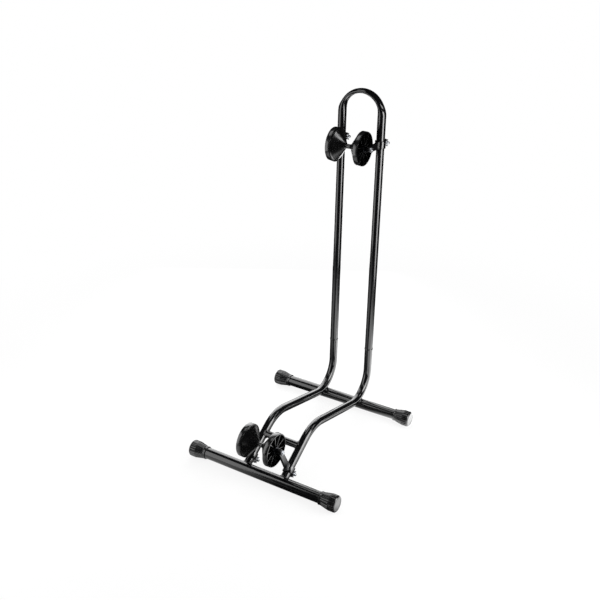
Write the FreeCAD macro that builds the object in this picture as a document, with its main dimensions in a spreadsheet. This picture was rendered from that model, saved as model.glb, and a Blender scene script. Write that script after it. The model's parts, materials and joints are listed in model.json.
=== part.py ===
import FreeCAD, Part
import math
import os

# Floor rack that holds a bicycle by one wheel. Two bent tubes stand side by side on two
# cross tubes with rubber end caps, a hoop closes them at the top, and two carriages with
# grooved rollers clamp on the tubes and hold the tyre. Millimetres, Z up, X along the
# cross tubes, Y from the front roller to the upright hoop. The origin is on the floor
# under the middle of the whole rack.

os.makedirs("parts", exist_ok=True)
doc = FreeCAD.newDocument("floor_bike_rack")

# Driving dimensions. Lengths are in millimetres and angles in degrees.
dimensions = {
    # cross tubes and their caps
    "front_setback": 202.24,      # front cross tube's axis in front of the origin
    "base_spacing": 357.4,        # between the two cross tubes' axes
    "base_height": 18.1,          # cross tubes' axis above the floor
    "base_diameter": 25.4,
    "base_wall": 1.6,
    "base_length": 370.0,         # bare tube, without the caps' end walls
    "cap_radius": 18.6,           # outer barrel, before its foot flat is cut
    "cap_mouth_radius": 14.8,     # collar at the open end
    "cap_groove_radius": 14.0,
    "cap_collar_width": 3.5,
    "cap_groove_width": 2.5,
    "cap_taper": 19.0,            # length of the cone between groove and barrel
    "cap_barrel": 13.0,
    "cap_round": 3.5,             # rounding of the closed end
    "cap_end_wall": 4.0,
    # bent frame tubes, seen from the side; lengths from the front cross tube's axis
    "tube_diameter": 19.0,
    "tube_wall": 1.5,
    "tube_spacing": 97.1,
    "ramp_start_y": 14.0,
    "ramp_start_height": 18.6,
    "ramp_tail": 4.0,             # tube beyond the ramp's start, under the cross tube
    "ramp_top_y": 131.0,
    "ramp_top_height": 89.0,
    "ramp_bend_radius": 88.0,
    "heel_overhang": 41.1,        # heel's corner behind the rear cross tube's axis
    "heel_height": 14.3,
    "heel_bend_radius": 63.0,
    "upright_lean_angle": 1.69,
    "stay_diameter": 16.0,        # cross bar between the two ramps
    "stay_wall": 1.5,
    "stay_station": 80.0,         # along the ramp from its start
    # plug joint between lower tubes and hoop
    "seam_height": 150.7,
    "rib_width": 4.0,
    "rib_radius": 10.5,
    "spigot_length": 30.0,
    "spigot_wall": 1.4,
    "spigot_clearance": 0.05,
    # hoop
    "crown_height": 770.0,        # centreline at the top
    "crown_thickness": 10.6,      # flattened section, across the bend
    "crown_width": 23.6,          # flattened section, front to back
    "crown_run_in": 18.0,         # straight part of each leg lofted with the crown
    # carriages: a strap round each tube with an arm to the roller's axle
    "strap_clearance": 0.1,
    "plate_thickness": 2.5,
    "plate_gap": 1.2,             # between a pair of plates' ears
    "strap_width": 16.0,
    "strap_fillet": 1.6,
    "ear_bolt_distance": 20.2,    # tube's axis to the clamp bolt
    "ear_margin": 5.3,
    "ear_round": 4.0,
    "arm_end_radius": 6.0,
    "taper_start": 3.0,           # arm keeps the strap's width this far past the strap
    "upper_strap_drop": 110.5,    # clamp's middle below the hoop's top
    "upper_arm_length": 54.6,
    "upper_arm_offset": 0.0,      # axle above the strap's middle, along the tube
    "lower_strap_station": 21.7,  # along the ramp from its start
    "lower_arm_length": 76.6,
    "lower_arm_offset": 6.3,
    # clamp bolts and wing nuts
    "bolt_radius": 3.0,
    "bolt_hole_clearance": 0.2,
    "bolt_head_radius": 6.0,
    "bolt_head_height": 3.0,
    "bolt_stick_out": 8.5,        # bolt past the outer ear
    "bolt_tip_bevel": 0.6,
    "nut_thread_clearance": 0.05,
    "nut_base_radius": 5.0,
    "nut_top_radius": 4.0,
    "nut_height": 5.0,
    "nut_lift": 0.3,              # between the ear and the turning nut
    "wing_reach": 7.6,
    "wing_height": 6.2,
    "wing_thickness": 1.8,
    "wing_root_sink": 0.4,        # wings start this far inside the nut's skin
    "wing_root_low": 1.0,         # foot and head of a wing's root above the nut's base
    "wing_root_high": 3.8,
    "wing_tip_low": 2.2,          # lowest point of a wing's outer end
    "wing_tip_bevel": 1.0,
    # axles
    "axle_radius": 3.0,
    "axle_half_length": 57.6,
    "axle_nut_width": 10.0,       # across flats
    "axle_nut_height": 5.4,
    "axle_nut_corner_cut": 0.22,  # taken off each corner by the chamfering ball
    "washer_radius": 9.0,
    "washer_thickness": 1.6,
    "washer_clearance": 0.2,
    "spacer_radius": 5.0,
    # rollers: two halves, back to back on one axle
    "roller_half_width": 39.35,
    "roller_rim_radius": 37.75,
    "roller_face_radius": 37.35,
    "roller_band": 10.5,
    "roller_rim_wall": 2.5,
    "roller_neck_radius": 5.0,
    "roller_neck_fillet": 6.0,
    "roller_cone_angle": 55.0,    # cone's side to the axle
    "roller_cone_wall": 2.5,
    "roller_hub_radius": 8.0,
    "roller_hub_recess": 1.75,    # hub's end below the roller's face
    "roller_rib_count": 10.0,
    "roller_rib_thickness": 1.8,
    "roller_rib_recess": 2.0,
    "roller_edge": 0.8,
    "running_clearance": 0.1,     # roller's bore round the axle
    "end_play": 0.3,              # roller's hub to each washer
}

sheet = doc.addObject("Spreadsheet::Sheet", "Sizes")
for row, (alias, value) in enumerate(dimensions.items(), start=1):
    sheet.set(f"A{row}", alias)
    sheet.set(f"B{row}", str(value))
    sheet.setAlias(f"B{row}", alias)
doc.recompute()


def size(alias):
    return float(sheet.get(alias))


nodes = {}


def publish(label, part_object):
    part_object.Label = label
    nodes[label] = part_object
    return part_object


# ---------------------------------------------------------------- geometry helpers

X_AXIS = FreeCAD.Vector(1, 0, 0)
ALONG_X = FreeCAD.Rotation(FreeCAD.Vector(0, 1, 0), 90)      # turns Z to X


def side_point(y, z, x=0.0):
    """Point given by its distance behind the front cross tube and its height."""
    return FreeCAD.Vector(x, y - size("front_setback"), z)


def bent_path(points, radii):
    """Edges of a path of straight runs joined by tangent arcs."""
    edges = []
    start = points[0]
    for index, radius in enumerate(radii, start=1):
        corner = points[index]
        back = (points[index - 1] - corner).normalize()
        ahead = (points[index + 1] - corner).normalize()
        half_angle = back.getAngle(ahead) / 2
        reach = radius / math.tan(half_angle)
        middle = (back + ahead).normalize() * (radius / math.sin(half_angle) - radius)
        first = corner + back * reach
        last = corner + ahead * reach
        edges.append(Part.LineSegment(start, first).toShape())
        edges.append(Part.Arc(first, corner + middle, last).toShape())
        start = last
    edges.append(Part.LineSegment(start, points[-1]).toShape())
    return edges


def boolean(kind, name, base, tool):
    """Cut or common of two objects."""
    result = doc.addObject("Part::" + kind, name)
    result.Base = base
    result.Tool = tool
    return result


def rod_along_x(name, radius, low_x, high_x, centre):
    """Cylinder along X. Its radius is given as a formula of the named sizes."""
    rod = doc.addObject("Part::Cylinder", name)
    rod.setExpression("Radius", radius)
    rod.Height = high_x - low_x
    rod.Placement = FreeCAD.Placement(
        FreeCAD.Vector(low_x, centre.y, centre.z), ALONG_X)
    return rod


def plane_of(body, role):
    for feature in body.Origin.OriginFeatures:
        if feature.Role == role:
            return feature
    raise ValueError(role)


def flat_sketch(body, name, plane, loops):
    """Sketch on one of the body's origin planes. A loop is a list of curves."""
    sketch = body.newObject("Sketcher::SketchObject", name)
    sketch.AttachmentSupport = (plane_of(body, plane), [""])
    sketch.MapMode = "FlatFace"
    for loop in loops:
        sketch.addGeometry(loop, False)
    return sketch


def flat(u, v):
    return FreeCAD.Vector(u, v, 0)


def lines(points):
    """Straight sketch curves through the points, one after the other."""
    return [Part.LineSegment(flat(*first), flat(*last))
            for first, last in zip(points, points[1:])]


def closed(points):
    return lines(points + points[:1])


def circle_loop(u, v, radius):
    return [Part.Circle(flat(u, v), FreeCAD.Vector(0, 0, 1), radius)]


def revolve(body, sketch):
    """Turns a profile drawn in the XY plane round the body's X axis."""
    turned = body.newObject("PartDesign::Revolution", sketch.Name + "_turned")
    turned.Profile = sketch
    turned.ReferenceAxis = (sketch, ["H_Axis"])
    turned.Angle = 360.0
    return turned


def pocket_through(body, sketch):
    """Cuts a sketch right through the body, both ways."""
    before = body.Shape.Volume
    cut = body.newObject("PartDesign::Pocket", sketch.Name + "_cut")
    cut.Profile = sketch
    cut.Type = "ThroughAll"
    cut.Midplane = True
    doc.recompute()
    if body.Shape.Volume >= before:
        raise RuntimeError(sketch.Name + " cut nothing")
    return cut


# ---------------------------------------------------------------- frame lines

tube_radius = size("tube_diameter") / 2
tube_bore = tube_radius - size("tube_wall")
tube_x = size("tube_spacing") / 2
base_radius = size("base_diameter") / 2

ramp_start = side_point(size("ramp_start_y"), size("ramp_start_height"))
ramp_top = side_point(size("ramp_top_y"), size("ramp_top_height"))
heel = side_point(size("base_spacing") + size("heel_overhang"), size("heel_height"))
ramp_line = (ramp_top - ramp_start).normalize()

lean = math.radians(size("upright_lean_angle"))
upright_line = FreeCAD.Vector(0, math.sin(lean), math.cos(lean))
upright_back = FreeCAD.Vector(0, math.cos(lean), -math.sin(lean))


def upright_point(height):
    return heel + upright_line * ((height - heel.z) / upright_line.z)


front_base = side_point(0, size("base_height"))
rear_base = side_point(size("base_spacing"), size("base_height"))
base_axes = {"front": front_base, "rear": rear_base}


# ---------------------------------------------------------------- cross tubes and caps

base_rods = {}


def base_tube(place):
    """Straight cross tube, open at both ends under its caps."""
    half_length = size("base_length") / 2
    centre = base_axes[place]
    outer = rod_along_x(f"{place}_base_rod", "Sizes.base_diameter / 2",
                        -half_length, half_length, centre)
    bore = rod_along_x(f"{place}_base_bore", "Sizes.base_diameter / 2 - Sizes.base_wall",
                       -half_length, half_length, centre)
    base_rods[place] = outer
    publish(f"{place}_base_tube", boolean("Cut", f"{place}_base_cut", outer, bore))


def end_cap(place, side, sign):
    """Rubber cap: collar, groove, cone and barrel, with a flat under the barrel."""
    collar_end = size("cap_collar_width")
    groove_end = collar_end + size("cap_groove_width")
    cone_end = groove_end + size("cap_taper")
    length = cone_end + size("cap_barrel") + size("cap_round")
    bore_end = length - size("cap_end_wall")
    radius = size("cap_radius")
    rounding = size("cap_round")
    mouth = size("cap_mouth_radius")
    groove = size("cap_groove_radius")
    centre = (length - rounding, radius - rounding)
    diagonal = rounding * math.sqrt(0.5)

    body = doc.addObject("PartDesign::Body", f"cap_{place}_{side}")
    profile = lines([(bore_end, 0), (bore_end, base_radius), (0, base_radius), (0, mouth),
                     (collar_end, mouth), (collar_end, groove), (groove_end, groove),
                     (groove_end, mouth), (cone_end, radius), (length - rounding, radius)])
    profile.append(Part.Arc(flat(length - rounding, radius),
                            flat(centre[0] + diagonal, centre[1] + diagonal),
                            flat(length, radius - rounding)))
    profile += lines([(length, radius - rounding), (length, 0), (bore_end, 0)])
    sketch = flat_sketch(body, f"cap_{place}_{side}_profile", "XY_Plane", [profile])
    revolve(body, sketch)

    ground = -size("base_height")
    below = -2 * radius
    foot = flat_sketch(body, f"cap_{place}_{side}_foot", "XZ_Plane",
                       [closed([(-1, below), (length + 1, below),
                                (length + 1, ground), (-1, ground)])])
    doc.recompute()
    pocket_through(body, foot)
    turn = FreeCAD.Rotation(FreeCAD.Vector(0, 0, 1), 0 if sign > 0 else 180)
    tube_end = size("base_length") / 2
    axis = base_axes[place]
    body.Placement = FreeCAD.Placement(
        FreeCAD.Vector(sign * (tube_end - bore_end), axis.y, axis.z), turn)
    publish(f"end_cap_{place}_{side}", body)


for place in base_axes:
    base_tube(place)
    end_cap(place, "left", -1)
    end_cap(place, "right", 1)


# ---------------------------------------------------------------- lower bent tubes

seam_point = upright_point(size("seam_height"))
lower_rods = {}


def swept_rod(name, path_edges, radius):
    """Round bar that follows a path. Its radius is a formula of the named sizes."""
    path = doc.addObject("Part::Feature", name + "_path")
    path.Shape = Part.Wire(path_edges)
    start = path_edges[0].Vertexes[0].Point
    heading = path_edges[0].tangentAt(path_edges[0].FirstParameter)
    circle = doc.addObject("Part::Circle", name + "_section")
    circle.setExpression("Radius", radius)
    circle.Placement = FreeCAD.Placement(
        start, FreeCAD.Rotation(FreeCAD.Vector(0, 0, 1), heading))
    sweep = doc.addObject("Part::Sweep", name)
    sweep.Sections = [circle]
    sweep.Spine = (path, [f"Edge{n + 1}" for n in range(len(path_edges))])
    sweep.Solid = True
    sweep.Frenet = False
    return sweep


def lower_tube(side, x):
    """Ramp, heel bend and upright stub, saddled on both cross tubes."""
    shift = X_AXIS * x
    corners = [ramp_start - ramp_line * size("ramp_tail"), ramp_top, heel,
               seam_point - upright_line * (size("rib_width") / 2)]
    corners = [corner + shift for corner in corners]
    radii = [size("ramp_bend_radius"), size("heel_bend_radius")]
    edges = bent_path(corners, radii)
    outer = swept_rod(f"lower_rod_{side}", edges, "Sizes.tube_diameter / 2")
    bore = swept_rod(f"lower_bore_{side}", edges,
                     "Sizes.tube_diameter / 2 - Sizes.tube_wall")
    lower_rods[side] = outer
    hollow = boolean("Cut", f"lower_hollow_{side}", outer, bore)
    saddled = boolean("Cut", f"lower_front_saddle_{side}", hollow, base_rods["front"])
    saddled = boolean("Cut", f"lower_rear_saddle_{side}", saddled, base_rods["rear"])
    publish(f"lower_tube_{side}", saddled)


def cross_bar():
    """Short tube between the two ramps, its ends fitted to their sides."""
    centre = ramp_start + ramp_line * size("stay_station")
    outer = rod_along_x("stay_rod", "Sizes.stay_diameter / 2", -tube_x, tube_x, centre)
    bore = rod_along_x("stay_bore", "Sizes.stay_diameter / 2 - Sizes.stay_wall",
                       -tube_x, tube_x, centre)
    bar = boolean("Cut", "stay_tube", outer, bore)
    bar = boolean("Cut", "stay_left_fit", bar, lower_rods["left"])
    publish("cross_bar", boolean("Cut", "stay_right_fit", bar, lower_rods["right"]))


def joint_spigot(side, x):
    """Sleeve inside both tubes at the seam, with a rib that their ends meet."""
    half_rib = size("rib_width") / 2
    outer = tube_bore - size("spigot_clearance")
    inner = outer - size("spigot_wall")
    reach = half_rib + size("spigot_length")
    rib = size("rib_radius")
    body = doc.addObject("PartDesign::Body", f"spigot_{side}")
    profile = lines([(-reach, inner), (reach, inner), (reach, outer), (half_rib, outer),
                     (half_rib, tube_radius)])
    profile.append(Part.Arc(flat(half_rib, tube_radius), flat(0, rib),
                            flat(-half_rib, tube_radius)))
    profile += lines([(-half_rib, tube_radius), (-half_rib, outer), (-reach, outer),
                      (-reach, inner)])
    revolve(body, flat_sketch(body, f"spigot_{side}_profile", "XY_Plane", [profile]))
    body.Placement = FreeCAD.Placement(
        seam_point + X_AXIS * x, FreeCAD.Rotation(X_AXIS, upright_line))
    publish(f"joint_spigot_{side}", body)


for side, x in (("left", -tube_x), ("right", tube_x)):
    lower_tube(side, x)
    joint_spigot(side, x)
cross_bar()


# ---------------------------------------------------------------- hoop

# Stations round the crown from the right leg to its top: distance down the leg, angle
# round the bend and how far the section is flattened there, from 0 to 1. The left half
# mirrors them.
crown_run_in = size("crown_run_in")
crown_stations = [(crown_run_in, 0.0, 0.0), (crown_run_in * 0.75, 0.0, 0.0),
                  (crown_run_in / 2, 0.0, 0.0), (crown_run_in / 4, 0.0, 0.0), (0.0, 2.0, 0.02),
                  (0.0, 9.0, 0.16), (0.0, 18.0, 0.5), (0.0, 28.0, 0.88), (0.0, 42.0, 1.0),
                  (0.0, 65.0, 1.0), (0.0, 90.0, 1.0)]
crown_stations += [(drop, 180.0 - angle, flattening)
                   for drop, angle, flattening in reversed(crown_stations[:-1])]
crown_centre = upright_point(size("crown_height")) - upright_line * tube_x
crown_base = crown_centre - upright_line * crown_run_in


def crown_solid(name, inset):
    """Loft round the crown, a given distance inside the tube's skin."""
    sections = []
    for number, (drop, angle, flattening) in enumerate(crown_stations):
        turn = math.radians(angle)
        outward = X_AXIS * math.cos(turn) + upright_line * math.sin(turn)
        radial = tube_radius + flattening * (size("crown_thickness") / 2 - tube_radius)
        across = tube_radius + flattening * (size("crown_width") / 2 - tube_radius)
        section = doc.addObject("Part::Ellipse", f"{name}_section_{number}")
        section.MajorRadius = across - inset
        section.MinorRadius = radial - inset
        facing = FreeCAD.Rotation(upright_back, outward, FreeCAD.Vector(), "XYZ")
        section.Placement = FreeCAD.Placement(
            crown_centre + outward * tube_x - upright_line * drop, facing)
        sections.append(section)
    loft = doc.addObject("Part::Loft", name)
    loft.Sections = sections
    loft.Solid = True
    loft.Ruled = False
    return loft


def hoop_leg(name, radius, x):
    """Straight leg from the seam's rib to the start of the crown."""
    foot = seam_point + upright_line * (size("rib_width") / 2)
    leg = doc.addObject("Part::Cylinder", name)
    leg.setExpression("Radius", radius)
    leg.Height = (crown_base - foot).Length
    leg.Placement = FreeCAD.Placement(
        foot + X_AXIS * x, FreeCAD.Rotation(FreeCAD.Vector(0, 0, 1), upright_line))
    return leg


def upper_hoop():
    """One tube bent over at the top, flattened by the tight bend."""
    halves = {}
    for name, radius, inset in (("hoop_skin", "Sizes.tube_diameter / 2", 0.0),
                                ("hoop_bore", "Sizes.tube_diameter / 2 - Sizes.tube_wall",
                                 size("tube_wall"))):
        whole = doc.addObject("Part::MultiFuse", name)
        whole.Shapes = [hoop_leg(name + "_left", radius, -tube_x),
                        crown_solid(name + "_crown", inset),
                        hoop_leg(name + "_right", radius, tube_x)]
        halves[name] = whole
    publish("upper_hoop", boolean("Cut", "hoop_tube", halves["hoop_skin"],
                                  halves["hoop_bore"]))


upper_hoop()


# ---------------------------------------------------------------- carriages

strap_bore = tube_radius + size("strap_clearance")
strap_outer = strap_bore + size("plate_thickness")


def tangent_point(point, centre, radius, above):
    """Where a line from the point touches the circle, on its upper or lower side."""
    offset = point - centre
    distance = offset.Length
    toward = offset * (1 / distance)
    aside = FreeCAD.Vector(-toward.y, toward.x, 0) * (1 if above else -1)
    cosine = radius / distance
    return centre + (toward * cosine + aside * math.sqrt(1 - cosine ** 2)) * radius


def plate_profile(sign, arm_end):
    """Section of one plate across the tube: ear, half round and flat arm."""
    thickness = size("plate_thickness")
    half_gap = size("plate_gap") / 2
    fillet = size("strap_fillet")
    ear_end = size("ear_bolt_distance") + size("ear_margin")

    def point(u, v):
        return flat(sign * u, v)

    def blend(flat_x, direction):
        """Fillet from the half round to a flat face at flat_x."""
        height = math.sqrt((strap_outer + fillet) ** 2 - (flat_x + fillet) ** 2)
        centre = (flat_x + fillet, direction * height)
        scale = strap_outer / (strap_outer + fillet)
        on_round = (centre[0] * scale, centre[1] * scale)
        on_flat = (flat_x, centre[1])
        aim = (on_round[0] + on_flat[0] - 2 * centre[0],
               on_round[1] + on_flat[1] - 2 * centre[1])
        length = math.hypot(*aim)
        middle = (centre[0] + aim[0] / length * fillet, centre[1] + aim[1] / length * fillet)
        return on_flat, middle, on_round

    back_flat, back_middle, back_round = blend(half_gap + thickness, 1)
    front_flat, front_middle, front_round = blend(thickness, -1)
    bore_back = (half_gap, math.sqrt(strap_bore ** 2 - half_gap ** 2))
    return [
        Part.LineSegment(point(0, arm_end), point(0, -strap_bore)),
        Part.Arc(point(0, -strap_bore), point(strap_bore, 0), point(*bore_back)),
        Part.LineSegment(point(*bore_back), point(half_gap, ear_end)),
        Part.LineSegment(point(half_gap, ear_end), point(half_gap + thickness, ear_end)),
        Part.LineSegment(point(half_gap + thickness, ear_end), point(*back_flat)),
        Part.Arc(point(*back_flat), point(*back_middle), point(*back_round)),
        Part.Arc(point(*back_round), point(strap_outer, 0), point(*front_round)),
        Part.Arc(point(*front_round), point(*front_middle), point(*front_flat)),
        Part.LineSegment(point(*front_flat), point(thickness, arm_end)),
        Part.LineSegment(point(thickness, arm_end), point(0, arm_end)),
    ]


def plate_outline(axle_y, axle_z):
    """Side view of a plate: ear with round corners, strap, tapered arm, round end."""
    half_width = size("strap_width") / 2
    ear_end = size("ear_bolt_distance") + size("ear_margin")
    corner = size("ear_round")
    chord = corner * math.sqrt(0.5)
    taper_y = -(strap_outer + size("taper_start"))
    centre = flat(axle_y, axle_z)
    radius = size("arm_end_radius")
    top = flat(taper_y, half_width)
    low = flat(taper_y, -half_width)
    top_touch = tangent_point(top, centre, radius, True)
    low_touch = tangent_point(low, centre, radius, False)
    far = centre - flat(radius, 0)
    bend_y = ear_end - corner
    bend_z = half_width - corner
    return [
        Part.LineSegment(low, flat(bend_y, -half_width)),
        Part.Arc(flat(bend_y, -half_width), flat(bend_y + chord, -bend_z - chord),
                 flat(ear_end, -bend_z)),
        Part.LineSegment(flat(ear_end, -bend_z), flat(ear_end, bend_z)),
        Part.Arc(flat(ear_end, bend_z), flat(bend_y + chord, bend_z + chord),
                 flat(bend_y, half_width)),
        Part.LineSegment(flat(bend_y, half_width), top),
        Part.LineSegment(top, top_touch),
        Part.Arc(top_touch, far, low_touch),
        Part.LineSegment(low_touch, low),
    ]


def clamp_plate(label, sign, arm_length, arm_offset, placement):
    """Pressed plate of a clamp: half round on the tube, an ear and an arm."""
    reach = size("strap_width") + 2 * abs(arm_offset) + 4 * size("arm_end_radius")
    arm_end = -(arm_length + 2 * size("arm_end_radius"))
    body = doc.addObject("PartDesign::Body", label + "_body")
    section = flat_sketch(body, label + "_section", "XY_Plane",
                          [plate_profile(sign, arm_end)])
    pad = body.newObject("PartDesign::Pad", label + "_pad")
    pad.Profile = section
    pad.Length = reach
    pad.Midplane = True
    doc.recompute()

    far = 2 * arm_end
    window = closed([(far, -reach), (-far, -reach), (-far, reach), (far, reach)])
    outline = flat_sketch(body, label + "_outline", "YZ_Plane",
                          [window, plate_outline(-arm_length, arm_offset)])
    pocket_through(body, outline)

    bolt_hole = size("bolt_radius") + size("bolt_hole_clearance")
    axle_hole = size("axle_radius") + size("bolt_hole_clearance")
    holes = flat_sketch(body, label + "_holes", "YZ_Plane",
                        [circle_loop(size("ear_bolt_distance"), 0, bolt_hole),
                         circle_loop(-arm_length, arm_offset, axle_hole)])
    pocket_through(body, holes)
    body.Placement = placement
    publish(label, body)


def clamp_bolt(label, placement):
    """Round-head bolt through both ears, its head on the left."""
    seat = -(size("plate_gap") / 2 + size("plate_thickness"))
    tip = -seat + size("bolt_stick_out")
    shank = size("bolt_radius")
    head = size("bolt_head_radius")
    height = size("bolt_head_height")
    body = doc.addObject("PartDesign::Body", label + "_body")
    dome_radius = (head ** 2 + height ** 2) / (2 * height)
    dome_centre = seat - height + dome_radius
    rise = math.asin(head / dome_radius) / 2
    profile = [Part.Arc(flat(seat - height, 0),
                        flat(dome_centre - dome_radius * math.cos(rise),
                             dome_radius * math.sin(rise)),
                        flat(seat, head))]
    bevel = size("bolt_tip_bevel")
    profile += lines([(seat, head), (seat, shank), (tip - bevel, shank),
                      (tip, shank - bevel), (tip, 0), (seat - height, 0)])
    revolve(body, flat_sketch(body, label + "_profile", "XY_Plane", [profile]))
    body.Placement = placement
    publish(label, body)


def wing_nut(label, placement):
    """Nut with two wings, just off the outer ear so that it can turn."""
    base = size("plate_gap") / 2 + size("plate_thickness") + size("nut_lift")
    top = base + size("nut_height")
    hole = size("bolt_radius") + size("nut_thread_clearance")
    root = size("nut_top_radius") - size("wing_root_sink")
    root_low = base + size("wing_root_low")
    root_high = base + size("wing_root_high")
    reach = size("wing_reach")
    bevel = size("wing_tip_bevel")
    tip_low = base + size("wing_tip_low")
    tip_high = base + size("wing_height")
    body = doc.addObject("PartDesign::Body", label + "_body")
    hub = flat_sketch(body, label + "_hub", "XY_Plane",
                      [closed([(base, hole), (base, size("nut_base_radius")),
                               (top, size("nut_top_radius")), (top, hole)])])
    revolve(body, hub)
    loops = []
    for sign in (-1, 1):
        loops.append(closed([(root_low, sign * root), (tip_low, sign * (reach - bevel)),
                             (tip_low + bevel, sign * reach),
                             (tip_high - bevel, sign * reach),
                             (tip_high, sign * (reach - bevel)),
                             (root_high, sign * root)]))
    wings = flat_sketch(body, label + "_wings", "XZ_Plane", loops)
    pad = body.newObject("PartDesign::Pad", label + "_wing_pad")
    pad.Profile = wings
    pad.setExpression("Length", "Sizes.wing_thickness")
    pad.Midplane = True
    body.Placement = placement
    publish(label, body)


def hexagon_nut(label, low_x, centre):
    """Plain hexagon nut with its corners eased."""
    height = size("axle_nut_height")
    corner_radius = size("axle_nut_width") / math.sqrt(3)
    middle = FreeCAD.Vector(low_x + height / 2, centre.y, centre.z)
    prism = doc.addObject("Part::Prism", label + "_prism")
    prism.Polygon = 6
    prism.setExpression("Circumradius", "Sizes.axle_nut_width / sqrt(3)")
    prism.setExpression("Height", "Sizes.axle_nut_height")
    prism.Placement = FreeCAD.Placement(FreeCAD.Vector(low_x, centre.y, centre.z), ALONG_X)
    ball = doc.addObject("Part::Sphere", label + "_ball")
    ball.Radius = math.hypot(height / 2, corner_radius) - size("axle_nut_corner_cut")
    ball.Placement.Base = middle
    bore = rod_along_x(label + "_bore", "Sizes.axle_radius", low_x, low_x + height, centre)
    common = doc.addObject("Part::Common", label + "_common")
    common.Base = prism
    common.Tool = ball
    publish(label, boolean("Cut", label + "_cut", common, bore))


def ring(label, radius, bore, low_x, high_x, centre):
    """Washer or spacer round an axle."""
    outer = rod_along_x(label + "_rod", radius, low_x, high_x, centre)
    inner = rod_along_x(label + "_hole", bore, low_x, high_x, centre)
    publish(label, boolean("Cut", label + "_cut", outer, inner))


def roller_half(label, side_sign, centre):
    """Grooved half: rim, cone down to the neck, hollow outer side with ribs."""
    half_width = size("roller_half_width")
    rim = size("roller_rim_radius")
    face = size("roller_face_radius")
    neck = size("roller_neck_radius")
    edge = size("roller_edge")
    hole = size("axle_radius") + size("running_clearance")
    hub = size("roller_hub_radius")
    hub_end = half_width - size("roller_hub_recess")
    band_x = half_width - size("roller_band")
    slope = math.tan(math.radians(size("roller_cone_angle")))
    angle = math.radians(size("roller_cone_angle"))
    fillet = size("roller_neck_fillet")
    wall_shift = size("roller_cone_wall") / math.sin(angle)
    lip = face - size("roller_rim_wall")

    def cone_x(radius):
        return band_x - (rim - radius) / slope

    meet = cone_x(neck)
    reach = fillet * math.tan(angle / 2)
    neck_end = meet - reach
    fillet_top = (meet + reach * math.cos(angle), neck + reach * math.sin(angle))
    fillet_middle = (neck_end + fillet * math.sin(angle / 2),
                     neck + fillet * (1 - math.cos(angle / 2)))

    body = doc.addObject("PartDesign::Body", label + "_body")
    profile = lines([(0, hole), (0, neck), (neck_end, neck)])
    profile.append(Part.Arc(flat(neck_end, neck), flat(*fillet_middle), flat(*fillet_top)))
    profile += lines([fillet_top, (cone_x(rim - edge), rim - edge), (band_x + edge, rim),
                      (half_width - edge, face), (half_width, face - edge),
                      (half_width, lip), (cone_x(lip) + wall_shift, lip),
                      (cone_x(hub) + wall_shift, hub), (hub_end, hub), (hub_end, hole),
                      (0, hole)])
    revolve(body, flat_sketch(body, label + "_profile", "XY_Plane", [profile]))

    rib_face = half_width - size("roller_rib_recess")
    bury = size("roller_cone_wall") / 2
    low = hub - bury / 2
    high = lip + bury / 2
    shape = closed([(cone_x(low) + wall_shift - bury, low), (rib_face, low),
                    (rib_face, high), (cone_x(high) + wall_shift - bury, high)])
    rib = body.newObject("PartDesign::Pad", label + "_rib")
    rib.Profile = flat_sketch(body, label + "_rib_shape", "XZ_Plane", [shape])
    rib.setExpression("Length", "Sizes.roller_rib_thickness")
    rib.Midplane = True
    doc.recompute()
    ribs = body.newObject("PartDesign::PolarPattern", label + "_ribs")
    ribs.Originals = [rib]
    ribs.Axis = (plane_of(body, "X_Axis"), [""])
    ribs.Angle = 360.0
    ribs.Occurrences = int(size("roller_rib_count"))
    body.Tip = ribs
    turn = FreeCAD.Rotation(FreeCAD.Vector(0, 0, 1), 0 if side_sign > 0 else 180)
    body.Placement = FreeCAD.Placement(centre, turn)
    publish(label, body)


def carriage(name, strap_centre, tube_line, arm_length, arm_offset):
    """Two clamps, one on each tube, with an axle and a roller between their arms."""
    angle = math.degrees(math.atan2(-tube_line.y, tube_line.z))
    turn = FreeCAD.Rotation(X_AXIS, angle)
    axle = strap_centre + turn.multVec(FreeCAD.Vector(0, -arm_length, arm_offset))
    bolt = FreeCAD.Vector(0, size("ear_bolt_distance"), 0)
    thickness = size("plate_thickness")
    for side, x in (("left", -tube_x), ("right", tube_x)):
        seat = FreeCAD.Placement(strap_centre + X_AXIS * x, turn)
        for layer, sign in (("left", -1), ("right", 1)):
            facing = "outer" if layer == side else "inner"
            clamp_plate(f"{name}_clamp_{side}_{facing}", sign, arm_length, arm_offset, seat)
        at_bolt = FreeCAD.Placement(seat.multVec(bolt), turn)
        clamp_bolt(f"{name}_clamp_bolt_{side}", at_bolt)
        wing_nut(f"{name}_wing_nut_{side}", at_bolt)

    half = size("axle_half_length")
    publish(f"{name}_axle",
            rod_along_x(f"{name}_axle_rod", "Sizes.axle_radius", -half, half, axle))
    nut_seat = tube_x + thickness
    plate_face = tube_x - thickness
    hub_end = size("roller_half_width") - size("roller_hub_recess")
    washer_in = hub_end + size("end_play")
    washer_out = washer_in + size("washer_thickness")
    nut_height = size("axle_nut_height")
    for side, sign in (("left", -1), ("right", 1)):
        hexagon_nut(f"{name}_axle_nut_{side}",
                    nut_seat if sign > 0 else -nut_seat - nut_height, axle)
        low, high = sorted((sign * washer_in, sign * washer_out))
        ring(f"{name}_washer_{side}", "Sizes.washer_radius",
             "Sizes.axle_radius + Sizes.washer_clearance", low, high, axle)
        low, high = sorted((sign * washer_out, sign * plate_face))
        ring(f"{name}_spacer_{side}", "Sizes.spacer_radius",
             "Sizes.axle_radius + Sizes.washer_clearance", low, high, axle)
        roller_half(f"{name}_roller_{side}", sign, axle)


upper_strap = upright_point(size("crown_height") - size("upper_strap_drop"))
lower_strap = ramp_start + ramp_line * size("lower_strap_station")
carriage("upper", upper_strap, upright_line,
         size("upper_arm_length"), size("upper_arm_offset"))
carriage("lower", lower_strap, ramp_line,
         size("lower_arm_length"), size("lower_arm_offset"))


# ---------------------------------------------------------------- checks and files

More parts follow.
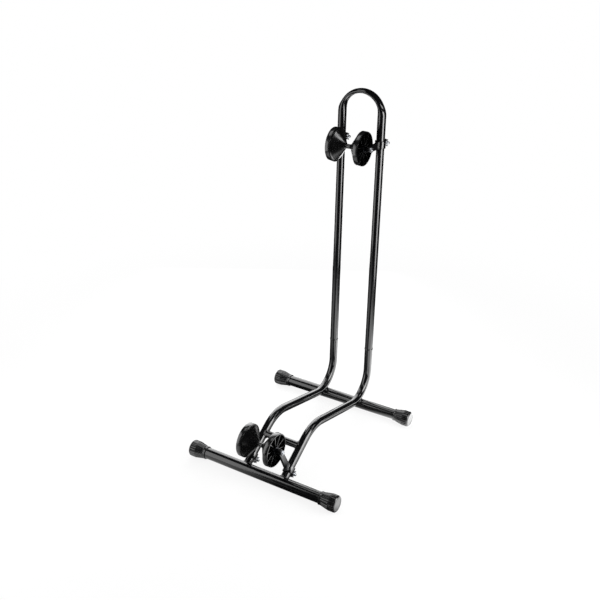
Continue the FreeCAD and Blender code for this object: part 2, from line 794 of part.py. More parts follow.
doc.recompute()
for item in doc.Objects:
    if "Invalid" in item.State or "Error" in item.State:
        raise RuntimeError(f"{item.Label}: {item.State}")
for label, part_object in nodes.items():
    shape = part_object.Shape
    if shape.isNull() or not shape.isValid():
        raise RuntimeError(f"{label} has no valid shape")
for label, part_object in nodes.items():
    part_object.Shape.exportStep(f"parts/{label}.step")
    box = part_object.Shape.BoundBox
    print(f"{label}: {len(part_object.Shape.Solids)} solid, "
          f"{part_object.Shape.Volume / 1000:.2f} cm3, "
          f"y {box.YMin:.1f} to {box.YMax:.1f}, z {box.ZMin:.1f} to {box.ZMax:.1f}")
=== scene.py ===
import json
import math
import bpy
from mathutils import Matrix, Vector

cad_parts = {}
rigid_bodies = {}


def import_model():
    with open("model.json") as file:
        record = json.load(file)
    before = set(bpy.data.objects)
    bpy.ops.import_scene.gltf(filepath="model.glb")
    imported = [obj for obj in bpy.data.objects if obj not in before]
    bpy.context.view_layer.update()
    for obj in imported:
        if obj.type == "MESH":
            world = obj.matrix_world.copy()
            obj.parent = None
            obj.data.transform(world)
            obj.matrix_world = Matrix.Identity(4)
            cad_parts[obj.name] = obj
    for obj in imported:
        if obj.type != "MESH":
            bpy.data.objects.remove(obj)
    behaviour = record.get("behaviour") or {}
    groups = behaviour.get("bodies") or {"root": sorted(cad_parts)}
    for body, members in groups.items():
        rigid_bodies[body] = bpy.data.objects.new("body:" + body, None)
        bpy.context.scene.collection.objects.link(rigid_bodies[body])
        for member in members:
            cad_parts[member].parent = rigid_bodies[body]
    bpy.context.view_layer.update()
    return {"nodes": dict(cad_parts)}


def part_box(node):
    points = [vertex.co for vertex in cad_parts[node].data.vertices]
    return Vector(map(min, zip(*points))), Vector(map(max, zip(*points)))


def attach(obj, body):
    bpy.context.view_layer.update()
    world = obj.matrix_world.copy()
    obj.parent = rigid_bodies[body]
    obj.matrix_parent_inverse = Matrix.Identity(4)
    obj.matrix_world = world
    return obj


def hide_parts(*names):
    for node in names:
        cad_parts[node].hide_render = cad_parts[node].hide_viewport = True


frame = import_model()
nodes = frame["nodes"]
print("floor bike rack: frame loaded")

levels = ("upper", "lower")
sides = {"left": -1, "right": 1}


# camera, as the photograph sees the rack
camera = {
    "place": (0.8398, -1.42304, 1.1978),
    "pitch": 0.470359,      # below the horizon, radians
    "turn": 0.546701,
    "lens": 50.94,
    "sensor": 36,
    "near": 0.05,
    "far": 50,
}


def addCamera():
    data = bpy.data.cameras.new("camera")
    data.lens = camera["lens"]
    data.sensor_width = camera["sensor"]
    data.clip_start = camera["near"]
    data.clip_end = camera["far"]
    seen = bpy.data.objects.new("camera", data)
    seen.location = camera["place"]
    seen.rotation_euler = (math.pi / 2 - camera["pitch"], 0, camera["turn"])
    bpy.context.scene.collection.objects.link(seen)
    bpy.context.scene.camera = seen


addCamera()
print("camera placed")


# materials: a noise's Scale is its patches in one metre, so 1000 over their size in millimetres
def linear(code):
    # sRGB hex code to linear colour
    parts = [int(code[i:i + 2], 16) / 255 for i in (1, 3, 5)]
    return tuple(c / 12.92 if c <= 0.04045 else ((c + 0.055) / 1.055) ** 2.4 for c in parts) + (1,)


def node(tree, kind, settings=None, links=None):
    # adds a node: settings are its own properties or its sockets' values, links feed its sockets
    made = tree.nodes.new(kind)
    for name, value in (settings or {}).items():
        if isinstance(name, str) and hasattr(made, name):
            setattr(made, name, value)
        else:
            made.inputs[name].default_value = value
    for name, source in (links or {}).items():
        tree.links.new(source, made.inputs[name])
    return made


def startMaterial(name):
    made = bpy.data.materials.new(name)
    made.use_nodes = True
    made.node_tree.nodes.clear()
    return made, made.node_tree


def endMaterial(tree, shader):
    node(tree, "ShaderNodeOutputMaterial", None, {"Surface": shader.outputs[0]})


def glossBlackPowderCoat():
    # Steel blasted clean, sprayed with black powder and baked until it flows together.
    # Its skin is even and glossy, with low mounds some 10 mm apart that make the long
    # reflections waver a little, and patches 30 mm across where it flowed out smoother.
    made, tree = startMaterial("glossBlackPowderCoat")
    place = node(tree, "ShaderNodeTexCoord").outputs["Object"]
    mounds = node(tree, "ShaderNodeTexNoise", {"Scale": 95, "Detail": 1}, {"Vector": place})
    patches = node(tree, "ShaderNodeTexNoise", {"Scale": 33, "Detail": 2}, {"Vector": place})
    bump = node(tree, "ShaderNodeBump", {"Strength": 0.02, "Distance": 0.0002},
                {"Height": mounds.outputs["Fac"]})
    gloss = node(tree, "ShaderNodeMapRange",
                 {"From Min": 0.3, "From Max": 0.7, "To Min": 0.12, "To Max": 0.17},
                 {"Value": patches.outputs["Fac"]})
    tone = node(tree, "ShaderNodeMix",
                {"data_type": "RGBA", 6: linear("#050506"), 7: linear("#08080a")},
                {0: patches.outputs["Fac"]})
    shader = node(tree, "ShaderNodeBsdfPrincipled", {"IOR": 1.7},
                  {"Base Color": tone.outputs[2], "Roughness": gloss.outputs[0],
                   "Normal": bump.outputs[0]})
    endMaterial(tree, shader)
    return made


def mouldedRubber():
    # Black rubber pressed in a polished steel mould. It shines almost like the tubes, with
    # a faint grey bloom in patches 8 mm across. The mould's fine grain is drawn 2 mm
    # across, coarser than the real one, which would not show.
    made, tree = startMaterial("mouldedRubber")
    place = node(tree, "ShaderNodeTexCoord").outputs["Object"]
    grain = node(tree, "ShaderNodeTexNoise", {"Scale": 500, "Detail": 3}, {"Vector": place})
    bloom = node(tree, "ShaderNodeTexNoise", {"Scale": 120, "Detail": 3}, {"Vector": place})
    bump = node(tree, "ShaderNodeBump", {"Strength": 0.03, "Distance": 0.0002},
                {"Height": grain.outputs["Fac"]})
    gloss = node(tree, "ShaderNodeMapRange",
                 {"From Min": 0.3, "From Max": 0.7, "To Min": 0.16, "To Max": 0.26},
                 {"Value": bloom.outputs["Fac"]})
    tone = node(tree, "ShaderNodeMix",
                {"data_type": "RGBA", 6: linear("#0d0d0e"), 7: linear("#1a1a1b")},
                {0: bloom.outputs["Fac"]})
    shader = node(tree, "ShaderNodeBsdfPrincipled", {"IOR": 1.65},
                  {"Base Color": tone.outputs[2], "Roughness": gloss.outputs[0],
                   "Normal": bump.outputs[0]})
    endMaterial(tree, shader)
    return made


def mouldedPlastic():
    # Black plastic injected into a polished mould. Its gloss is softer than the paint's,
    # and duller in cloudy streaks some 15 mm long where the melt flowed and cooled. Its
    # grain is drawn 2.4 mm across, because the real one would not show.
    made, tree = startMaterial("mouldedPlastic")
    place = node(tree, "ShaderNodeTexCoord").outputs["Object"]
    streaks = node(tree, "ShaderNodeTexNoise", {"Scale": 70, "Detail": 3, "Distortion": 0.6},
                   {"Vector": place})
    grain = node(tree, "ShaderNodeTexNoise", {"Scale": 420, "Detail": 2}, {"Vector": place})
    bump = node(tree, "ShaderNodeBump", {"Strength": 0.02, "Distance": 0.0002},
                {"Height": grain.outputs["Fac"]})
    gloss = node(tree, "ShaderNodeMapRange",
                 {"From Min": 0.3, "From Max": 0.7, "To Min": 0.18, "To Max": 0.28},
                 {"Value": streaks.outputs["Fac"]})
    tone = node(tree, "ShaderNodeMix",
                {"data_type": "RGBA", 6: linear("#070708"), 7: linear("#0f0f10")},
                {0: streaks.outputs["Fac"]})
    shader = node(tree, "ShaderNodeBsdfPrincipled", {"IOR": 1.8},
                  {"Base Color": tone.outputs[2], "Roughness": gloss.outputs[0],
                   "Normal": bump.outputs[0]})
    endMaterial(tree, shader)
    return made


def zincPlatedSteel():
    # Turned and pressed steel with a thin bright zinc coat. It is pale blue grey metal with
    # darker clouds 3 mm across from handling and a fine crystal grain, drawn at 1 mm
    # because the real grain would not show.
    made, tree = startMaterial("zincPlatedSteel")
    place = node(tree, "ShaderNodeTexCoord").outputs["Object"]
    clouds = node(tree, "ShaderNodeTexNoise", {"Scale": 330, "Detail": 3}, {"Vector": place})
    grain = node(tree, "ShaderNodeTexNoise", {"Scale": 1000, "Detail": 2}, {"Vector": place})
    bump = node(tree, "ShaderNodeBump", {"Strength": 0.08, "Distance": 0.0001},
                {"Height": grain.outputs["Fac"]})
    gloss = node(tree, "ShaderNodeMapRange",
                 {"From Min": 0.3, "From Max": 0.7, "To Min": 0.24, "To Max": 0.4},
                 {"Value": clouds.outputs["Fac"]})
    tone = node(tree, "ShaderNodeMix",
                {"data_type": "RGBA", 6: linear("#a2a5aa"), 7: linear("#c9ccd0")},
                {0: clouds.outputs["Fac"]})
    shader = node(tree, "ShaderNodeBsdfPrincipled", {"Metallic": 1.0},
                  {"Base Color": tone.outputs[2], "Roughness": gloss.outputs[0],
                   "Normal": bump.outputs[0]})
    endMaterial(tree, shader)
    return made


def blackZincSteel():
    # Zinc plated steel dipped until the coat turns black. It is dark metal with a satin
    # sheen, uneven in patches 4 mm across, and paler where the coat came out thin.
    made, tree = startMaterial("blackZincSteel")
    place = node(tree, "ShaderNodeTexCoord").outputs["Object"]
    patches = node(tree, "ShaderNodeTexNoise", {"Scale": 250, "Detail": 3}, {"Vector": place})
    gloss = node(tree, "ShaderNodeMapRange",
                 {"From Min": 0.3, "From Max": 0.7, "To Min": 0.28, "To Max": 0.42},
                 {"Value": patches.outputs["Fac"]})
    tone = node(tree, "ShaderNodeMix",
                {"data_type": "RGBA", 6: linear("#222326"), 7: linear("#3a3b3f")},
                {0: patches.outputs["Fac"]})
    shader = node(tree, "ShaderNodeBsdfPrincipled", {"Metallic": 1.0},
                  {"Base Color": tone.outputs[2], "Roughness": gloss.outputs[0]})
    endMaterial(tree, shader)
    return made


finishes = {
    "tube_paint": glossBlackPowderCoat(),
    "clamp_paint": glossBlackPowderCoat(),
    "cap_rubber": mouldedRubber(),
    "roller_plastic": mouldedPlastic(),
    "zinc": zincPlatedSteel(),
    "black_zinc": blackZincSteel(),
}


def finishOf(name):
    if "cap" in name:
        return "cap_rubber"
    if "roller" in name:
        return "roller_plastic"
    if "clamp_left" in name or "clamp_right" in name:
        return "clamp_paint"
    if "washer" in name or "spacer" in name:
        return "black_zinc"
    if any(word in name for word in ("bolt", "nut", "axle")):
        return "zinc"
    return "tube_paint"


for name, piece in nodes.items():
    piece.data.materials.clear()
    piece.data.materials.append(finishes[finishOf(name)])
print("materials done")


# what every new piece needs to be shaped, placed and hung on its body
mergeDistance = 0.000004


def deselect():
    if bpy.context.object and bpy.context.object.mode != "OBJECT":
        bpy.ops.object.mode_set(mode="OBJECT")
    bpy.ops.object.select_all(action="DESELECT")


def only(piece):
    deselect()
    piece.select_set(True)
    bpy.context.view_layer.objects.active = piece


def fixPlace(piece):
    only(piece)
    bpy.ops.object.transform_apply(location=True, rotation=True, scale=True)


def copied(piece, place=(0, 0, 0), turn=(0, 0, 0)):
    only(piece)
    bpy.ops.object.duplicate()
    twin = bpy.context.object
    twin.location = place
    twin.rotation_euler = turn
    fixPlace(twin)
    return twin


def joined(pieces):
    deselect()
    for piece in pieces:
        piece.select_set(True)
    bpy.context.view_layer.objects.active = pieces[0]
    bpy.ops.object.join()
    return bpy.context.object


def chooseVerts(piece, test):
    # in edit mode: selects the points that pass the test, in millimetres
    bpy.ops.mesh.select_mode(type="VERT")
    bpy.ops.mesh.select_all(action="DESELECT")
    bpy.ops.object.mode_set(mode="OBJECT")
    for vert in piece.data.vertices:
        vert.select = bool(test(vert.co * 1000))
    bpy.ops.object.mode_set(mode="EDIT")


def turned(stations, count, filled=False):
    # a ring on the X axis, drawn out from station to station: distance along X and radius,
    # in millimetres
    deselect()
    x, radius = (value / 1000 for value in stations[0])
    bpy.ops.mesh.primitive_circle_add(vertices=count, radius=radius,
                                      fill_type="NGON" if filled else "NOTHING",
                                      location=(x, 0, 0), rotation=(0, math.pi / 2, 0))
    piece = bpy.context.object
    fixPlace(piece)
    bpy.ops.object.mode_set(mode="EDIT")
    bpy.ops.mesh.select_mode(type="FACE" if filled else "EDGE")
    bpy.ops.mesh.select_all(action="SELECT")
    for nextX, nextRadius in stations[1:]:
        nextX, nextRadius = nextX / 1000, nextRadius / 1000
        bpy.ops.mesh.extrude_region_move(TRANSFORM_OT_translate={"value": (nextX - x, 0, 0)})
        share = nextRadius / radius
        bpy.ops.transform.resize(value=(1, share, share), center_override=(nextX, 0, 0))
        x, radius = nextX, nextRadius
    bpy.ops.mesh.select_all(action="SELECT")
    bpy.ops.mesh.remove_doubles(threshold=mergeDistance)
    bpy.ops.mesh.normals_make_consistent(inside=False)
    bpy.ops.object.mode_set(mode="OBJECT")
    return piece


def rounded(piece, width, segments=2, angle=30):
    only(piece)
    soft = piece.modifiers.new("edges", "BEVEL")
    soft.width = width / 1000
    soft.segments = segments
    soft.limit_method = "ANGLE"
    soft.angle_limit = math.radians(angle)
    bpy.ops.object.modifier_apply(modifier=soft.name)


def bodyOf(name):
    level = name.split("_")[0]
    if "wing_nut" in name:
        return name
    if "roller" in name:
        return level + "_roller"
    if any(word in name for word in ("clamp", "axle", "washer", "spacer")):
        return level + "_carriage"
    return "frame"


def hang(piece, name, smooth):
    # the piece takes the place, body and finish of the CAD node with its name; edges
    # sharper than smooth, in degrees, stay sharp
    only(piece)
    bpy.ops.object.shade_smooth_by_angle(angle=math.radians(smooth))
    piece.name = name + "_shape"
    piece.data.name = piece.name
    piece.data.materials.clear()
    slot = finishOf(name)
    piece.data.materials.append(finishes[slot])
    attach(piece, bodyOf(name))
    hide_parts(name)


def middleOf(name):
    low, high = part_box(name)
    return (Vector(low) + Vector(high)) / 2


# frame's lines in its side view, millimetres behind the front cross tube and above the floor
frameLines = {
    "setback": 202.24,      # front cross tube in front of the origin
    "baseSpacing": 357.4,
    "baseHeight": 18.1,
    "baseRadius": 12.7,
    "tubeRadius": 9.5,
    "tubeX": 48.55,         # bent tubes' axes left and right of the middle
    "rampStart": (14.0, 18.6),
    "rampTop": (131.0, 89.0),
    "heel": (398.5, 14.3),
    "heelRadius": 63.0,
    "upperLean": 1.69,      # degrees from upright
    "stayStation": 80.0,    # cross bar, along the ramp
    "stayRadius": 8.0,
}


def rampDirection():
    return Vector(frameLines["rampTop"]) - Vector(frameLines["rampStart"])


def leanOf(level):
    # how far the carriage's tube leans from upright, about X
    if level == "upper":
        return -math.radians(frameLines["upperLean"])
    along = rampDirection()
    return math.atan2(-along.x, along.y)


# end caps: fluted rubber with a collar, lengths in millimetres from the open end
cap = {
    "openEnd": 147.5,       # from the rack's middle
    "height": 18.1,
    "bore": 12.72,
    "endWall": 37.5,
    "profile": [(0, 12.72), (0, 14.3), (0.5, 14.8), (3.1, 14.8), (3.5, 14.5), (3.7, 14.0),
                (5.7, 14.0), (6.0, 14.7), (7.2, 15.0), (9.5, 15.45), (14, 16.35), (19, 17.35),
                (23, 18.15), (24.6, 18.5), (25.6, 18.6), (30, 18.6), (36, 18.6), (37.6, 18.6),
                (38.5, 18.5), (39.6, 18.0), (40.6, 17.2), (41.2, 16.2), (41.5, 15.1),
                (41.5, 13.4), (41.1, 12.9), (41.1, 0.8)],
    "flutes": 24,
    "fluteSides": 6,        # columns of faces to a flute
    "fluteRange": (7.0, 37.7),
    "fluteDepth": 1.6,
    "fluteRadius": 17.5,    # where the depth is measured
    "fluteCuts": [((2, 3, 4), 0.6), ((3,), 0.4)],   # columns pressed in, share of the depth
    "smooth": 28,
}


def capShape():
    count = cap["flutes"] * cap["fluteSides"]
    piece = turned([(cap["endWall"], cap["bore"])] + cap["profile"], count, filled=True)
    only(piece)
    bpy.ops.object.mode_set(mode="EDIT")
    step = 2 * math.pi / count
    first, last = cap["fluteRange"]
    for columns, share in cap["fluteCuts"]:
        def inFlute(point):
            column = round(math.atan2(point.z, point.y) / step) % cap["fluteSides"]
            outside = math.hypot(point.y, point.z) > cap["bore"] + 1
            return first < point.x < last and column in columns and outside
        chooseVerts(piece, inFlute)
        scale = 1 - share * cap["fluteDepth"] / cap["fluteRadius"]
        bpy.ops.transform.resize(value=(1, scale, scale), center_override=(0, 0, 0))
    bpy.ops.object.mode_set(mode="OBJECT")
    return piece


def addCaps():
    shape = capShape()
    for place in ("front", "rear"):
        axis = middleOf(f"{place}_base_tube")
        for side, sign in sides.items():
            end = (sign * cap["openEnd"] / 1000, axis.y, cap["height"] / 1000)
            piece = copied(shape, end, (0, 0, 0 if sign > 0 else math.pi))
            # flat that it stands on
            bpy.ops.object.mode_set(mode="EDIT")
            bpy.ops.mesh.select_all(action="SELECT")
            bpy.ops.mesh.bisect(plane_co=(0, 0, 0), plane_no=(0, 0, 1), use_fill=True,
                                clear_inner=True)
            bpy.ops.object.mode_set(mode="OBJECT")
            hang(piece, f"end_cap_{place}_{side}", cap["smooth"])
    bpy.data.objects.remove(shape)
    print("end caps done")


addCaps()


# rollers: half of one, outwards from the middle, with a stepped rim and ribs in its hollow
# side; lengths in millimetres
roller = {
    "bore": 3.1, "neck": 5.0, "neckEdge": 0.3, "neckFillet": 6.0, "neckSteps": 5,
    "coneAngle": 55.0, "coneWall": 2.5,
    "halfWidth": 39.35, "band": 10.5, "rim": 37.75, "face": 37.35, "lipWall": 2.5, "lipEdge": 0.4,
    "stepWidth": 1.9, "stepHeight": 0.72, "rounding": 0.9,
    "hub": 8.0, "hubRecess": 1.75, "hubEdge": 0.5, "boreEdge": 0.4,
    "neckSupport": 1.2,     # extra rings this far from an edge keep the cones' shading straight
    "support": 1.5,
    "ribs": 10, "ribThickness": 1.8, "ribRecess": 2.0, "ribEdge": 0.3,
    "ribSink": 1.2,         # ribs start this far inside the wall
    "ribOverlap": 0.6,      # and end this far inside hub and lip
    "sides": 96,
    "smooth": 40,
}


def rollerStations():
    # the half roller's outline, once round from the bore's middle, and the hollow side's line
    r = roller
    bandX = r["halfWidth"] - r["band"]
    angle = math.radians(r["coneAngle"])
    wall = r["coneWall"] / math.sin(angle)

    def coneX(radius):
        return bandX - (r["rim"] - radius) / math.tan(angle)

    def hollowX(radius):
        return coneX(radius) + wall

    # neck
    neckEnd = coneX(r["neck"]) - r["neckFillet"] * math.tan(angle / 2)
    stations = [(0, r["bore"]), (0, r["neck"] - r["neckEdge"]), (r["neckEdge"], r["neck"])]
    for step in range(r["neckSteps"] + 1):
        turn = angle * step / r["neckSteps"]
        stations.append((neckEnd + r["neckFillet"] * math.sin(turn),
                         r["neck"] + r["neckFillet"] * (1 - math.cos(turn))))

    # cone, and the step that ends it
    edge = r["rounding"]
    coneStart = stations[-1][1] + r["neckSupport"]
    stepRadius = r["rim"] - r["stepWidth"] - edge
    stepX = bandX - r["stepHeight"]
    stations += [(coneX(coneStart), coneStart),
                 (coneX(stepRadius - r["support"]), stepRadius - r["support"]),
                 (coneX(stepRadius - 0.5), stepRadius - 0.5),
                 (stepX - 0.25, stepRadius - 0.1),
                 (stepX, stepRadius + 0.25)]

    # rim and lip
    lip = r["face"] - r["lipWall"]
    stations += [(stepX, r["rim"] - edge),
                 (stepX + 0.25 * edge, r["rim"] - 0.35 * edge),
                 (stepX + 0.9 * edge, r["rim"]),
                 (r["halfWidth"] - edge, r["face"]),
                 (r["halfWidth"] - 0.3 * edge, r["face"] - 0.25 * edge),
                 (r["halfWidth"], r["face"] - 0.9 * edge),
                 (r["halfWidth"], lip + r["lipEdge"]),
                 (r["halfWidth"] - r["lipEdge"], lip)]

    # hollow side and hub
    hubEnd = r["halfWidth"] - r["hubRecess"]
    stations += [(hollowX(lip), lip - 0.3),
                 (hollowX(lip - r["support"]), lip - r["support"]),
                 (hollowX(r["hub"] + r["support"]), r["hub"] + r["support"]),
                 (hollowX(r["hub"]), r["hub"] + 0.4),
                 (hubEnd - r["hubEdge"], r["hub"]),
                 (hubEnd, r["hub"] - r["hubEdge"]),
                 (hubEnd, r["bore"] + r["boreEdge"]),
                 (hubEnd - r["boreEdge"], r["bore"]),
                 (0, r["bore"])]
    return stations, hollowX


def ribShape(hollowX):
    # a rib that follows the hollow side from the hub to the lip
    r = roller
    inner = r["hub"] - r["ribOverlap"]
    outer = r["face"] - r["lipWall"] + r["ribOverlap"]
    end = r["halfWidth"] - r["ribRecess"]
    low = hollowX(inner) - r["ribSink"]
    high = hollowX(outer) - r["ribSink"]
    deselect()
    bpy.ops.mesh.primitive_cube_add(size=0.001,
                                    location=((low + end) / 2000, 0, (inner + outer) / 2000),
                                    scale=(end - low, r["ribThickness"], outer - inner))
    rib = bpy.context.object
    fixPlace(rib)
    bpy.ops.object.mode_set(mode="EDIT")
    chooseVerts(rib, lambda point: point.x < end - 1 and point.z > outer - 1)
    bpy.ops.transform.translate(value=((high - low) / 1000, 0, 0))
    bpy.ops.object.mode_set(mode="OBJECT")
    rounded(rib, r["ribEdge"])
    return rib


def rollerShape():
    stations, hollowX = rollerStations()
    dish = turned(stations, roller["sides"])
    rib = ribShape(hollowX)
    count = roller["ribs"]
    ribs = [copied(rib, turn=(2 * math.pi * number / count, 0, 0)) for number in range(count)]
    bpy.data.objects.remove(rib)
    return joined([dish] + ribs)


def addRollers():
    shape = rollerShape()
    for level in levels:
        axle = middleOf(f"{level}_axle")
        for side, sign in sides.items():
            piece = copied(shape, axle, (0, 0, 0 if sign > 0 else math.pi))
            hang(piece, f"{level}_roller_{side}", roller["smooth"])
    bpy.data.objects.remove(shape)
    print("rollers done")


addRollers()


# clamp plates, axle nuts and rings: the CAD shapes with their edges broken, as pressing and
# turning leave them; widths in millimetres, angles in degrees
edgeWidths = {
    "clamp_left": 0.5,
    "clamp_right": 0.5,
    "axle_nut": 0.25,
    "washer": 0.35,
    "spacer": 0.4,
}
edgeAngles = {
    "flat": 0.5,            # triangles as near to flat as this become one face
    "broken": 40,           # edges sharper than this are broken
    "smooth": 30,
}


def breakEdges(name, width):
    only(nodes[name])
    bpy.ops.object.duplicate()
    piece = bpy.context.object
    bpy.ops.object.parent_clear(type="CLEAR_KEEP_TRANSFORM")
    fixPlace(piece)
    bpy.ops.object.mode_set(mode="EDIT")
    bpy.ops.mesh.select_all(action="SELECT")
    bpy.ops.mesh.remove_doubles(threshold=mergeDistance)
    bpy.ops.mesh.dissolve_limited(angle_limit=math.radians(edgeAngles["flat"]))
    bpy.ops.object.mode_set(mode="OBJECT")
    rounded(piece, width, angle=edgeAngles["broken"])
    hang(piece, name, edgeAngles["smooth"])


for name in list(nodes):
    for word, width in edgeWidths.items():
        if word in name:
            breakEdges(name, width)
print("clamps, axle nuts and rings done")


# clamp bolts and axles: turned, with rolled thread at the ends; lengths in millimetres from
# the middle of the clamp or axle
thread = {"pitch": 1.0, "radius": 3.0, "depth": 0.42}
rod = {"sides": 40, "pole": 0.5, "smooth": 25}      # pole: small face that closes an end
bolt = {"seat": -3.1, "head": 6.0, "headHeight": 3.0, "headEdge": 0.25, "domeSteps": 8,
        "domePole": 0.6, "threadStart": 2.0, "threadEnd": 10.8, "tip": 11.6, "tipBevel": 0.5}
axleRod = {"half": 57.6, "threadStart": 48.2, "threadEnd": 56.9, "tipBevel": 0.4}


def threadStations(start, end):
    stations = []
    x = start
    while x + thread["pitch"] <= end:
        stations += [(x, thread["radius"]),
                     (x + 0.5 * thread["pitch"], thread["radius"] - thread["depth"])]
        x += thread["pitch"]
    return stations


def addBolts():
    seat, head, height = bolt["seat"], bolt["head"], bolt["headHeight"]
    stations = [(seat - height, bolt["domePole"])]
    for step in range(1, bolt["domeSteps"]):
        turn = math.pi / 2 * step / bolt["domeSteps"]
        stations.append((seat - height * math.cos(turn), head * math.sin(turn)))
    stations += [(seat - bolt["headEdge"], head), (seat, head - bolt["headEdge"]),
                 (seat, thread["radius"])]
    stations += threadStations(bolt["threadStart"], bolt["threadEnd"])
    stations += [(bolt["tip"] - bolt["tipBevel"], thread["radius"] - 0.05),
                 (bolt["tip"], thread["radius"] - 0.6), (bolt["tip"], rod["pole"])]
    shape = turned(stations, rod["sides"], filled=True)
    for level in levels:
        for side in sides:
            name = f"{level}_clamp_bolt_{side}"
            place = middleOf(name)
            place.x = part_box(name)[0][0] + (height - seat) / 1000
            hang(copied(shape, place), name, rod["smooth"])
    bpy.data.objects.remove(shape)


def addAxles():
    half = axleRod["half"]
    ends = threadStations(axleRod["threadStart"], axleRod["threadEnd"])
    ends += [(half - axleRod["tipBevel"], thread["radius"]), (half, thread["radius"] - 0.5),
             (half, rod["pole"])]
    stations = [(-x, radius) for x, radius in reversed(ends)] + ends
    shape = turned(stations, rod["sides"], filled=True)
    for level in levels:
        name = f"{level}_axle"
        hang(copied(shape, middleOf(name)), name, rod["smooth"])
    bpy.data.objects.remove(shape)


addBolts()
addAxles()
print("bolts and axles done")


# wing nuts: a turned collar with two ears drawn out of it, lengths in millimetres
wingNut = {
    "seat": 3.4,            # collar's seat from the clamp's middle
    "bore": 3.05, "foot": 5.0, "footHeight": 1.1, "shoulder": 1.7, "top": 4.0, "height": 5.0,
    "edge": 0.3, "topRound": 0.5, "topEdge": 0.4,
    "earRoot": (2.4, 4.1),  # block that an ear grows from: above the seat, out from the bolt
    "earBlock": (2.8, 1.9, 1.4),
    # each step of the ear: how far out, how far up, and its width and thickness as shares of
    # the last step's
    "earSteps": [(1.3, 0.75, 1.25, 0.95), (1.1, 0.75, 1.08, 0.95), (0.55, 0.1, 0.6, 0.7)],
    "earEdge": 0.3,
    "sides": 40,
    "smooth": 50,
}


def wingNutShape():
    w = wingNut
    seat = w["seat"]
    crown = seat + w["height"]
    collar = turned([(seat, w["bore"]), (seat, w["foot"] - w["edge"]),
                     (seat + w["edge"], w["foot"]), (seat + w["footHeight"], w["foot"]),
                     (seat + w["shoulder"], w["top"] + w["topRound"]),
                     (crown - w["topRound"], w["top"]), (crown, w["top"] - w["topEdge"]),
                     (crown, w["bore"] + w["edge"]), (crown - w["edge"], w["bore"]),
                     (seat, w["bore"])], w["sides"])
    deselect()
    up, out = w["earRoot"]
    bpy.ops.mesh.primitive_cube_add(size=0.001, location=((seat + up) / 1000, 0, out / 1000),
                                    scale=w["earBlock"])
    ear = bpy.context.object
    fixPlace(ear)
    bpy.ops.object.mode_set(mode="EDIT")
    for rise, shift, spread, lean in w["earSteps"]:
        tip = max(vert.co.z for vert in ear.data.vertices) * 1000 - 0.01
        chooseVerts(ear, lambda point: point.z > tip)
        last = [vert.co.x for vert in ear.data.vertices if vert.co.z * 1000 > tip]
        middle = sum(last) / len(last) + shift / 1000
        bpy.ops.mesh.extrude_region_move(
            TRANSFORM_OT_translate={"value": (shift / 1000, 0, rise / 1000)})
        bpy.ops.transform.resize(value=(spread, lean, 1), center_override=(middle, 0, 0))
        # out and back in, so that the new points can be read
        bpy.ops.object.mode_set(mode="OBJECT")
        bpy.ops.object.mode_set(mode="EDIT")
    bpy.ops.mesh.select_all(action="SELECT")
    bpy.ops.mesh.bevel(offset=w["earEdge"] / 1000, segments=1, affect="EDGES")
    bpy.ops.mesh.normals_make_consistent(inside=False)
    bpy.ops.object.mode_set(mode="OBJECT")
    smooth = ear.modifiers.new("smooth", "SUBSURF")
    smooth.levels = smooth.render_levels = 2
    bpy.ops.object.modifier_apply(modifier=smooth.name)
    twin = copied(ear, turn=(math.pi, 0, 0))
    return joined([collar, ear, twin])


def addWingNuts():
    shape = wingNutShape()
    for level in levels:
        lean = leanOf(level)
        for side in sides:
            name = f"{level}_wing_nut_{side}"
            place = middleOf(name)
            place.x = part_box(name)[0][0] - wingNut["seat"] / 1000
            hang(copied(shape, place, (lean, 0, 0)), name, wingNut["smooth"])
    bpy.data.objects.remove(shape)
    print("wing nuts done")


addWingNuts()


# weld beads: a rippled bead laid along each joint of the frame, lengths in millimetres
weld = {
    "radius": 1.9,
    "ripple": 0.16,         # share that every second ring is thinner
    "ripplePitch": 1.7,
    "waver": 0.05,          # slower swelling of the bead, as a hand makes it
    "waverStep": 2.3,
    "endSize": 0.35,        # an open bead starts and ends thin and grows ring by ring
    "endGrowth": 0.22,
    "lift": 0.3,            # bead's line outside the skin of the tube it lies on
    "step": 2.5,            # degrees round the tube from point to point
    "stayStep": 5,          # degrees round the cross bar's end
    "smooth": 60,
}


def sidePoint(x, y, z):
    return Vector((x, y - frameLines["setback"], z)) / 1000


